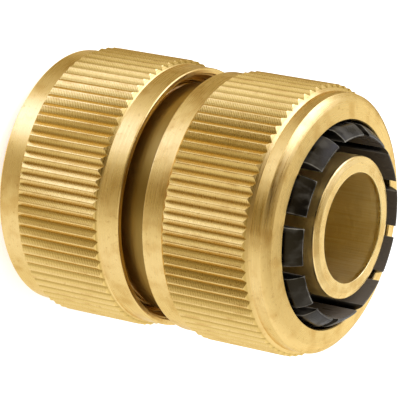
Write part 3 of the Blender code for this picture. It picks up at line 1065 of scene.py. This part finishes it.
def gripper_tree():
    """Copies of one finger, turned round the axis, joined and subdivided."""
    inputs = {
        "Geometry": ["Finger"],
        "Int": ["Count", "Smoothing"],
        "Float": ["First angle"],
        "Material": ["Material"],
    }
    tree, given = new_tree("gripper", inputs, "Gripper")
    spots = add_node(tree, "GeometryNodePoints", {"Count": given["Count"]})
    index = add_node(tree, "GeometryNodeInputIndex")
    share = add_node(tree, "ShaderNodeMath", [index, given["Count"]], operation="DIVIDE")
    feeds = [share, math.tau, given["First angle"]]
    turn = add_node(tree, "ShaderNodeMath", feeds, operation="MULTIPLY_ADD")
    turned = add_node(tree, "ShaderNodeCombineXYZ", {"Z": turn})
    feeds = {"Points": spots, "Instance": given["Finger"], "Rotation": turned}
    ring = add_node(tree, "GeometryNodeInstanceOnPoints", feeds)
    real = add_node(tree, "GeometryNodeRealizeInstances", {"Geometry": ring})
    feeds = {"Geometry": real, "Distance": CAGE_MERGE}
    merged = add_node(tree, "GeometryNodeMergeByDistance", feeds)
    feeds = {"Mesh": merged, "Level": given["Smoothing"]}
    moulded = add_node(tree, "GeometryNodeSubdivisionSurface", feeds)
    add_node(tree, "NodeGroupOutput", [finished(tree, moulded, CAGE_SHARP, given["Material"])])
    return tree


# %% Twelve fingers make a gripper
gripper = gripper_tree()
sizes = {
    "Count": FINGERS,
    "First angle": math.pi / FINGERS,
    "Smoothing": 2,
    "Material": black_nylon,
}
grippers = {
    gripper_name: checked(baked(finger_cage(side), gripper, sizes, gripper_name + "_moulded"))
    for gripper_name, side in (("upper_collet", 1), ("lower_collet", -1))
}

# %% [markdown]
# ## Put each piece on its body
#
# Every dressed piece rides on the solid body it belongs to, so it turns and slides
# with it, and it stands in for that body's plain solid.

# %% Bodies, replaced solids and material slots
dressed = {
    "centre_body": (centre_body, "body", "body_brass"),
    "upper_nut": (nuts["upper_nut"], "upper_clamp", "nut_brass"),
    "lower_nut": (nuts["lower_nut"], "lower_clamp", "nut_brass"),
    "upper_collet": (grippers["upper_collet"], "upper_gripper", "black_nylon"),
    "lower_collet": (grippers["lower_collet"], "lower_gripper", "black_nylon"),
}
for node, (piece, body, slot) in dressed.items():
    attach(piece, body)
    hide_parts(node)
    print(piece.name, "rides on", body, "and stands for", node)

# %% [markdown]
# ## Floor
#
# The mender stands on a plain pale floor. The floor's own paint is lit by the
# lamps and keeps the mender's soft shadow. A little light of its own is added for
# what looks at it straight, in the metal or through the lens, so that the lit
# part comes out as plain white paper.

# %% Floor
FLOOR_REACH = 0.8

floor_corners = [(-1, -1), (1, -1), (1, 1), (-1, 1)]
floor_points = [(x * FLOOR_REACH, y * FLOOR_REACH, 0.0) for x, y in floor_corners]
floor_mesh = bpy.data.meshes.new("floor")
floor_mesh.from_pydata(floor_points, [], [(0, 1, 2, 3)])
floor = bpy.data.objects.new("floor", floor_mesh)
bpy.context.scene.collection.objects.link(floor)
floor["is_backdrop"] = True
print("floor:", 2 * FLOOR_REACH, "m wide")

# %% The floor's paint
FLOOR_LIFT = 0.6


def seen_straight(tree):
    """1 for rays from the lens and from metal or glass, else 0."""
    path = add_node(tree, "ShaderNodeLightPath").outputs
    seen = path["Is Camera Ray"]
    for ray in ("Is Glossy Ray", "Is Transmission Ray"):
        seen = add_node(tree, "ShaderNodeMath", [seen, path[ray]], operation="MAXIMUM")
    return seen


floor_paint = new_material("pale floor paint")
tree = floor_paint.node_tree
paint = add_node(tree, "ShaderNodeBsdfDiffuse", {"Color": linear("F4F4F4")})
lift = add_node(tree, "ShaderNodeMath", [seen_straight(tree), FLOOR_LIFT], operation="MULTIPLY")
lift = add_node(tree, "ShaderNodeEmission", {"Color": (1, 1, 1, 1), "Strength": lift})
add_node(tree, "ShaderNodeOutputMaterial", [add_node(tree, "ShaderNodeAddShader", [paint, lift])])
floor_mesh.materials.append(floor_paint)
print("floor:", floor_paint.name)

# %% [markdown]
# ## Studio light
#
# Bare metal has no colour but what it mirrors, so brass is lit with cards. A
# round wall mirrors the floor in front of it: the side that faces the lens sees
# the floor towards the lens, and the sides see the floor further round. One sheet
# lies on the floor there, and a dome stands over the mender. Both are plain pale
# card with a dark flag towards the lens, a softbox on one side and a greyer wall
# beyond it. The lens doesn't see them, and they light nothing but the gloss.

# %% Shades of a card


def held(value):
    """The value, held between 0 and 1."""
    return max(0.0, min(1.0, value))


def swell(value, centre, width):
    """1 at the centre, falling softly to 0 at the width on either side."""
    share = held(abs(value - centre) / width)
    return (1 - share * share) ** 2


def tinted(level, coolness):
    """The light of a card. The darker it is, the warmer it is, as brass sees brass,
    and what is brighter than plain card is cooler, as a flash is."""
    warm, cool = max(0.0, 1 - level) ** 1.5, coolness * max(0.0, level - 1)
    green = 1 - 0.4 * warm + 0.25 * cool
    blue = 1 - 1.2 * warm + 1.5 * cool
    return (level, level * green, level * max(0.2, blue), 1.0)


print("plain card:", tinted(1.0, 1.0))

# %% Cards
card = new_material("studio card")
card.cycles.emission_sampling = "NONE"
tone = add_node(card.node_tree, "ShaderNodeAttribute", attribute_name="tone").outputs["Color"]
glow = add_node(card.node_tree, "ShaderNodeEmission", {"Color": tone})
add_node(card.node_tree, "ShaderNodeOutputMaterial", [glow])


def card_object(name, rows, tones):
    """A sheet from rows of points, each point with its own tone."""
    width = len(rows[0])
    faces = [
        (i * width + j, i * width + j + 1, (i + 1) * width + j + 1, (i + 1) * width + j)
        for i in range(len(rows) - 1)
        for j in range(width - 1)
    ]
    mesh = bpy.data.meshes.new(name)
    mesh.from_pydata([point for row in rows for point in row], [], faces)
    channels = [channel for row in tones for tone in row for channel in tone]
    mesh.attributes.new("tone", "FLOAT_COLOR", "POINT").data.foreach_set("color", channels)
    mesh.materials.append(card)
    obj = bpy.data.objects.new(name, mesh)
    bpy.context.scene.collection.objects.link(obj)
    obj.visible_camera = obj.visible_diffuse = obj.visible_shadow = False
    obj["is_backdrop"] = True
    print(f"{name}: {len(faces)} faces, light from {min(channels):.2f} to {max(channels):.2f}")


# %% [markdown]
# The sheet is laid out in rays. Each ray starts at the mender's foot and runs the
# way that the wall above it mirrors, at twice the wall's own angle, so one number
# says which part of the wall will show it.

# %% The sheet on the floor
FOOT_R, SHEET_LIFT, SHEET_REACH, NEAR_REACH = 18.0 * MM, 0.3 * MM, 300 * MM, 75 * MM
STEPS_ROUND, STEPS_OUT, SPREAD = 90, 24, 1.6
SHEET_COOLNESS = 1.0


def sheet_level(turn, nearness):
    """How bright the sheet is. turn is the mirrored direction in degrees, and
    nearness goes from 1 at the mender's foot to 0 at what its top sees."""
    level = 1.0 + 0.13 * swell(turn, 72, 45) + 0.07 * swell(turn, 150, 40)
    # A bright strip beside the flag, the dark flag towards the lens, a greyer part
    # beyond the strip, and the floor that only the mender's edge mirrors.
    level += (0.16 + 0.62 * nearness) * swell(turn, -44, 36)
    level -= (0.84 - 0.45 * nearness) * swell(turn, 3, 41)
    level -= 0.55 * swell(turn, -117, 58)
    level -= (0.75 - 0.2 * nearness) * swell(turn, -180, 50 - 14 * nearness)
    return level


sheet_rows, sheet_tones = [], []
for i in range(STEPS_OUT + 1):
    outward = SHEET_REACH * (i / STEPS_OUT) ** SPREAD
    row, tones = [], []
    for j in range(STEPS_ROUND + 1):
        wall = math.radians(-90 + 180 * j / STEPS_ROUND)
        foot = FOOT_R * (math.cos(wall) * front + math.sin(wall) * beside)
        away = outward * (math.cos(2 * wall) * front + math.sin(2 * wall) * beside)
        row.append(foot + away + SHEET_LIFT * up_axis)
        level = sheet_level(math.degrees(2 * wall), held(1 - outward / NEAR_REACH))
        tones.append(tinted(level, SHEET_COOLNESS))
    sheet_rows.append(row)
    sheet_tones.append(tones)
card_object("floor card", sheet_rows, sheet_tones)

# %% [markdown]
# The dome's card is a little greyer, and paler or darker in a few soft patches.
# Each patch says how much light it adds or takes, and where it lies and how far
# it reaches in the three directions: ahead towards the lens, across, and up.

# %% The dome's shades
DOME_LEVEL = 0.86
DOME_PATCHES = (
    (0.32, {"up": (0.4, 0.4)}),
    (0.14, {"up": (0.7, 0.5), "across": (0.75, 0.5)}),
    (0.42, {"up": (0.2, 0.2), "ahead": (-1.0, 0.6), "across": (0.1, 0.9)}),
    (-0.4, {"ahead": (-0.72, 0.4), "across": (-0.65, 0.4)}),
    (-0.35, {"up": (0.0, 0.2), "ahead": (-1.0, 0.6), "across": (-0.3, 0.4)}),
    (-0.3, {"up": (1.0, 0.4), "ahead": (-0.25, 0.4), "across": (0.03, 0.45)}),
)
FLAG_SHADE, FLAG_START, FLAG_BLUR = 0.82, -0.3, 0.5
SOFTBOX_AIM = {"ahead": -0.15, "across": -0.73, "up": 0.667}
SOFTBOX_LIGHT, SOFTBOX_HALF_ANGLE, SOFTBOX_BLUR = 1.7, 27, 9


def dome_level(direction):
    """How bright the dome is in a direction, given as ahead, across and up."""
    level = DOME_LEVEL
    for light, place in DOME_PATCHES:
        level += light * math.prod(swell(direction[way], *reach) for way, reach in place.items())
    flag = held((direction["ahead"] - FLAG_START) / FLAG_BLUR)
    level -= FLAG_SHADE * flag * swell(direction["across"], -0.13, 0.55)
    aim = sum(direction[way] * part for way, part in SOFTBOX_AIM.items())
    off_aim = math.degrees(math.acos(max(-1.0, min(1.0, aim))))
    return level + SOFTBOX_LIGHT * held((SOFTBOX_HALF_ANGLE - off_aim) / SOFTBOX_BLUR)


print("dome overhead:", round(dome_level({"ahead": 0.0, "across": 0.0, "up": 1.0}), 2))

# %% The dome
DOME_R, STEPS_UP, STEPS_AROUND = 500 * MM, 32, 96
DOME_COOLNESS = 0.35

dome_rows, dome_tones = [], []
for i in range(STEPS_UP + 1):
    rise = math.radians(90 * i / STEPS_UP)
    row, tones = [], []
    for j in range(STEPS_AROUND + 1):
        turn = math.tau * j / STEPS_AROUND
        ahead, across = math.cos(rise) * math.cos(turn), math.cos(rise) * math.sin(turn)
        direction = {"ahead": ahead, "across": across, "up": math.sin(rise)}
        row.append(DOME_R * (ahead * front + across * beside + math.sin(rise) * up_axis))
        tones.append(tinted(dome_level(direction), DOME_COOLNESS))
    dome_rows.append(row)
    dome_tones.append(tones)
card_object("dome", dome_rows, dome_tones)

# %% [markdown]
# The room behind the cards is plain white to the lens and gives an even light to
# everything else. One soft lamp on the softbox's side shades the nylon and gives
# the mender its shadow on the floor. The gloss doesn't see the lamp, because the
# dome already shows a softbox there.

# %% Room
ROOM_LIGHT, ROOM_SEEN = 0.7, 1.0

world = bpy.data.worlds.new("studio")
bpy.context.scene.world = world
world.use_nodes = True
world.node_tree.nodes.clear()
feeds = [seen_straight(world.node_tree), ROOM_SEEN - ROOM_LIGHT, ROOM_LIGHT]
level = add_node(world.node_tree, "ShaderNodeMath", feeds, operation="MULTIPLY_ADD")
room = add_node(world.node_tree, "ShaderNodeBackground", {"Color": (1, 1, 1, 1), "Strength": level})
add_node(world.node_tree, "ShaderNodeOutputWorld", [room])
print("room:", ROOM_LIGHT, "to light by,", ROOM_SEEN, "to look at")

# %% Lamp
LAMP_WATTS, LAMP_SIZE, LAMP_DISTANCE = 1.6, 300 * MM, 400 * MM

lamp_data = bpy.data.lights.new("key softbox", "AREA")
lamp_data.energy = LAMP_WATTS
lamp_data.size = LAMP_SIZE
lamp = bpy.data.objects.new("key softbox", lamp_data)
bpy.context.scene.collection.objects.link(lamp)
towards_lamp = (-0.8 * beside + 0.1 * front + 0.7 * up_axis).normalized()
lamp.location = AXIS_MIDDLE + LAMP_DISTANCE * towards_lamp
lamp.rotation_euler = towards_lamp.to_track_quat("Z", "Y").to_euler()
lamp.visible_glossy = False
print("lamp, height in mm:", round(lamp.location.z / MM))

# %% [markdown]
# The picture keeps plain colour management, so a colour shows as it is written.
# The solids' box and the dressed mender's box are kept side by side, because the
# dressing must not change the mender's size.

# %% Colour management, sizes, and the end
bpy.context.scene.view_settings.view_transform = "Standard"
dressed_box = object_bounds()
sizes = {"solids": [list(v) for v in cad_box], "dressed": [list(v) for v in dressed_box]}
print("dressed, mm:", [[round(v / MM, 2) for v in corner] for corner in dressed_box])
